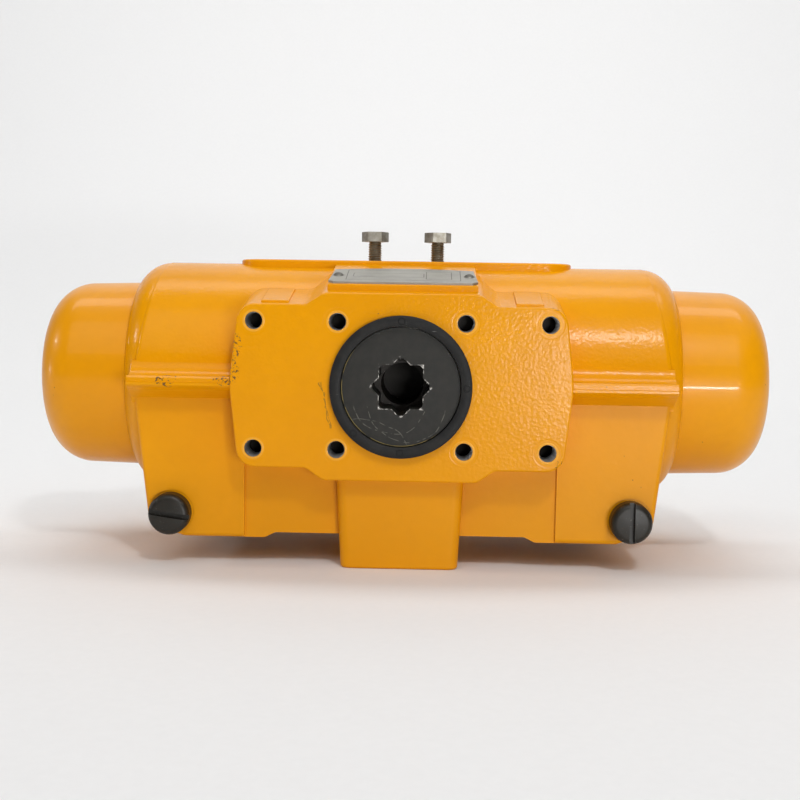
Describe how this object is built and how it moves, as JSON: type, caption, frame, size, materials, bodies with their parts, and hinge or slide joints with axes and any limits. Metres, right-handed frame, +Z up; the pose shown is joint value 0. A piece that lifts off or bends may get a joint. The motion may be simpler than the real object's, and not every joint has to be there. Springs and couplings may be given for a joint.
{
  "type": "pneumatic valve actuator",
  "caption": "Double-piston rack-and-pinion air actuator that turns a quarter-turn valve stem through 90 degrees, with spring-return end cups and two stop screws.",
  "frame": {"origin": "centre of the valve flange face, where the drive axis meets it", "axes": "+X along the cylinders, +Y into the body along the drive axis, +Z up towards the stop screws"},
  "size_m": [0.3006, 0.135, 0.1352],
  "materials": {
    "body_paint": "gloss yellow paint on cast aluminium",
    "black_polymer": "matte",
    "shaft_steel": "dark phosphated steel",
    "zinc_steel": "bright zinc",
    "spring_steel": "oiled spring steel",
    "black_plug": "satin black",
    "plate_aluminium": "brushed",
    "cast_aluminium": "machined",
    "rubber": "matte",
    "bush_polymer": "matte"
  },
  "bodies": {
    "housing": {"centring_ring": "black_polymer", "cup_retaining_ring_left": "spring_steel", "cup_retaining_ring_right": "spring_steel", "cup_seal_left": "rubber", "cup_seal_right": "rubber", "end_cup_left": "body_paint", "end_cup_right": "body_paint", "gallery_plug_left": "black_plug", "gallery_plug_right": "black_plug", "gallery_plug_seals": "rubber", "housing": "body_paint", "nameplate": "plate_aluminium", "nameplate_rivets": "plate_aluminium", "pinion_bush_back": "bush_polymer", "pinion_bush_front": "bush_polymer", "shaft_washer": "zinc_steel", "spring_left": "spring_steel", "spring_right": "spring_steel", "stop_screw_seals": "rubber", "thrust_washer": "bush_polymer"},
    "pinion": {"pinion": "shaft_steel", "pinion_seal_front": "rubber", "pinion_seal_back": "rubber", "pinion_circlip": "zinc_steel"},
    "piston_right": {"piston_right": "cast_aluminium", "piston_seal_right": "rubber", "piston_guide_band_right": "bush_polymer", "rack_pads_right": "bush_polymer"},
    "piston_left": {"piston_left": "cast_aluminium", "piston_seal_left": "rubber", "piston_guide_band_left": "bush_polymer", "rack_pads_left": "bush_polymer"},
    "stop_screw_right": {"stop_screw_right": "zinc_steel"},
    "stop_screw_left": {"stop_screw_left": "zinc_steel"}
  },
  "joints": [
    {"name": "drive_turn", "type": "hinge", "parent": "housing", "child": "pinion", "pos_m": [0, 0.058, 0], "axis": [0, 1, 0], "range_deg": [0, 90]},
    {"name": "piston_right_slide", "type": "slide", "parent": "housing", "child": "piston_right", "axis": [1, 0, 0], "range_m": [0, 0.03142], "deforming": ["spring_right"]},
    {"name": "piston_left_slide", "type": "slide", "parent": "housing", "child": "piston_left", "axis": [-1, 0, 0], "range_m": [0, 0.03142], "deforming": ["spring_left"]},
    {"name": "stop_screw_right_travel", "type": "slide", "parent": "housing", "child": "stop_screw_right", "axis": [0, 0, 1], "range_m": [0, 0.004]},
    {"name": "stop_screw_left_travel", "type": "slide", "parent": "housing", "child": "stop_screw_left", "axis": [0, 0, 1], "range_m": [0, 0.004]}
  ],
  "couplings": [
    {"joint": "piston_right_slide", "follows": "drive_turn", "m_per_rad": 0.02},
    {"joint": "piston_left_slide", "follows": "drive_turn", "m_per_rad": 0.02}
  ]
}
